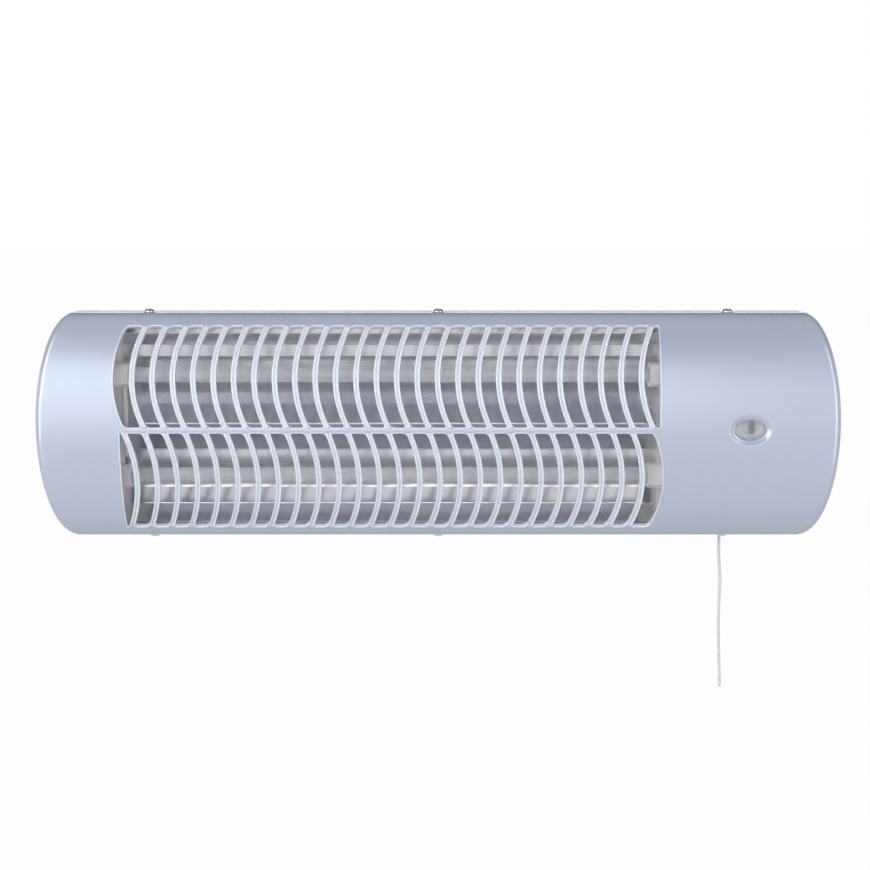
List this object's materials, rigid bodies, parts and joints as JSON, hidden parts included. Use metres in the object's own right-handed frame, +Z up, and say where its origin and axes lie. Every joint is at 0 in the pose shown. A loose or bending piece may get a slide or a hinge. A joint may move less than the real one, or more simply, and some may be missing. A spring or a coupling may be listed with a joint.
{
  "type": "infrared wall heater",
  "caption": "Wall-mounted infrared heater: quartz tubes behind a grille of S-shaped bars, a pull cord switch with an oval lamp, and a tilting wall bracket.",
  "frame": {"origin": "middle of the wall plate's back face, level with the tilt pivots", "axes": "+Z up, the front faces -Y, +X to the right seen from the front, the wall is the plane Y = 0"},
  "size_m": [0.52, 0.094, 0.2628],
  "materials": {
    "silver_cover": "satin silver paint",
    "shell_paint": "satin silver paint",
    "bracket_paint": "satin silver paint",
    "plated_steel": "zinc plated",
    "spring_steel": "bright",
    "plate_steel": "galvanised",
    "polished_aluminium": "polished",
    "quartz": "clear",
    "resistance_wire": "oxidised",
    "steatite": "unglazed white",
    "terminal_metal": "plated",
    "sleeving": "white glass-fibre sleeve",
    "brown_insulation": "smooth",
    "earth_insulation": "smooth, green with a yellow stripe",
    "clear_plastic": "clear moulded lens",
    "neon_glass": "clear",
    "neon_electrode": "glowing",
    "white_plastic": "white",
    "dark_plastic": "dark grey",
    "black_rubber": "matt",
    "cord_fibre": "white braided"
  },
  "bodies": {
    "bracket": {"wall_bracket": "bracket_paint", "pivot_bolts": "plated_steel", "pivot_washers": "plated_steel"},
    "heater": {"front_cover": "silver_cover", "rear_shell": "shell_paint", "hinge_lug_left": "bracket_paint", "hinge_lug_right": "bracket_paint", "lug_rivets": "plated_steel", "cover_screws": "plated_steel", "plate_rivets": "plated_steel", "block_screws": "plated_steel", "earth_stud": "plated_steel", "clamp_screws": "plated_steel", "switch_screws": "plated_steel", "cap_screws": "plated_steel", "rotor_clip": "plated_steel", "return_spring": "spring_steel", "reflector_end_left": "plate_steel", "reflector_end_right": "plate_steel", "reflector": "polished_aluminium", "quartz_tube_upper": "quartz", "quartz_tube_lower": "quartz", "heating_coil_upper": "resistance_wire", "heating_coil_lower": "resistance_wire", "link_splice": "resistance_wire", "ceramic_upper_left": "steatite", "ceramic_upper_right": "steatite", "ceramic_lower_left": "steatite", "ceramic_lower_right": "steatite", "terminal_pins": "terminal_metal", "terminal_nuts": "terminal_metal", "terminal_screws": "terminal_metal", "earth_tag": "terminal_metal", "earth_nut": "terminal_metal", "contact_leaves": "terminal_metal", "link_wire": "sleeving", "upper_lead": "sleeving", "lower_lead": "sleeving", "lamp_leads": "sleeving", "live_lead": "brown_insulation", "earth_lead": "earth_insulation", "indicator_lens": "clear_plastic", "neon_lamp": "neon_glass", "lamp_electrodes": "neon_electrode", "lamp_holder": "white_plastic", "terminal_block": "white_plastic", "lead_clamp": "white_plastic", "switch_body": "white_plastic", "switch_cap": "white_plastic", "cord_guide": "dark_plastic", "lead_gland": "black_rubber"},
    "pull": {"switch_plunger": "white_plastic", "pull_cord": "cord_fibre"},
    "rotor": {"ratchet_rotor": "dark_plastic", "contact_bridge": "terminal_metal"},
    "left_wing_nut": {"wing_nut_left": "plated_steel"},
    "right_wing_nut": {"wing_nut_right": "plated_steel"}
  },
  "joints": [
    {"name": "tilt", "type": "hinge", "parent": "bracket", "child": "heater", "pos_m": [0, -0.018, 0], "axis": [1, 0, 0], "range_deg": [0, 30]},
    {"name": "cord_pull", "type": "slide", "parent": "heater", "child": "pull", "axis": [0, 0, -1], "range_m": [0, 0.008], "stiffness_N_per_m": 900, "springref_m": -0.004, "deforming": ["return_spring"]},
    {"name": "rotor_turn", "type": "hinge", "parent": "heater", "child": "rotor", "pos_m": [0.192, -0.044, -0.02], "axis": [0, 0, 1], "continuous": true},
    {"name": "left_wing_nut_turn", "type": "hinge", "parent": "bracket", "child": "left_wing_nut", "pos_m": [-0.112, -0.018, 0], "axis": [-1, 0, 0], "continuous": true},
    {"name": "right_wing_nut_turn", "type": "hinge", "parent": "bracket", "child": "right_wing_nut", "pos_m": [0.112, -0.018, 0], "axis": [1, 0, 0], "continuous": true}
  ]
}
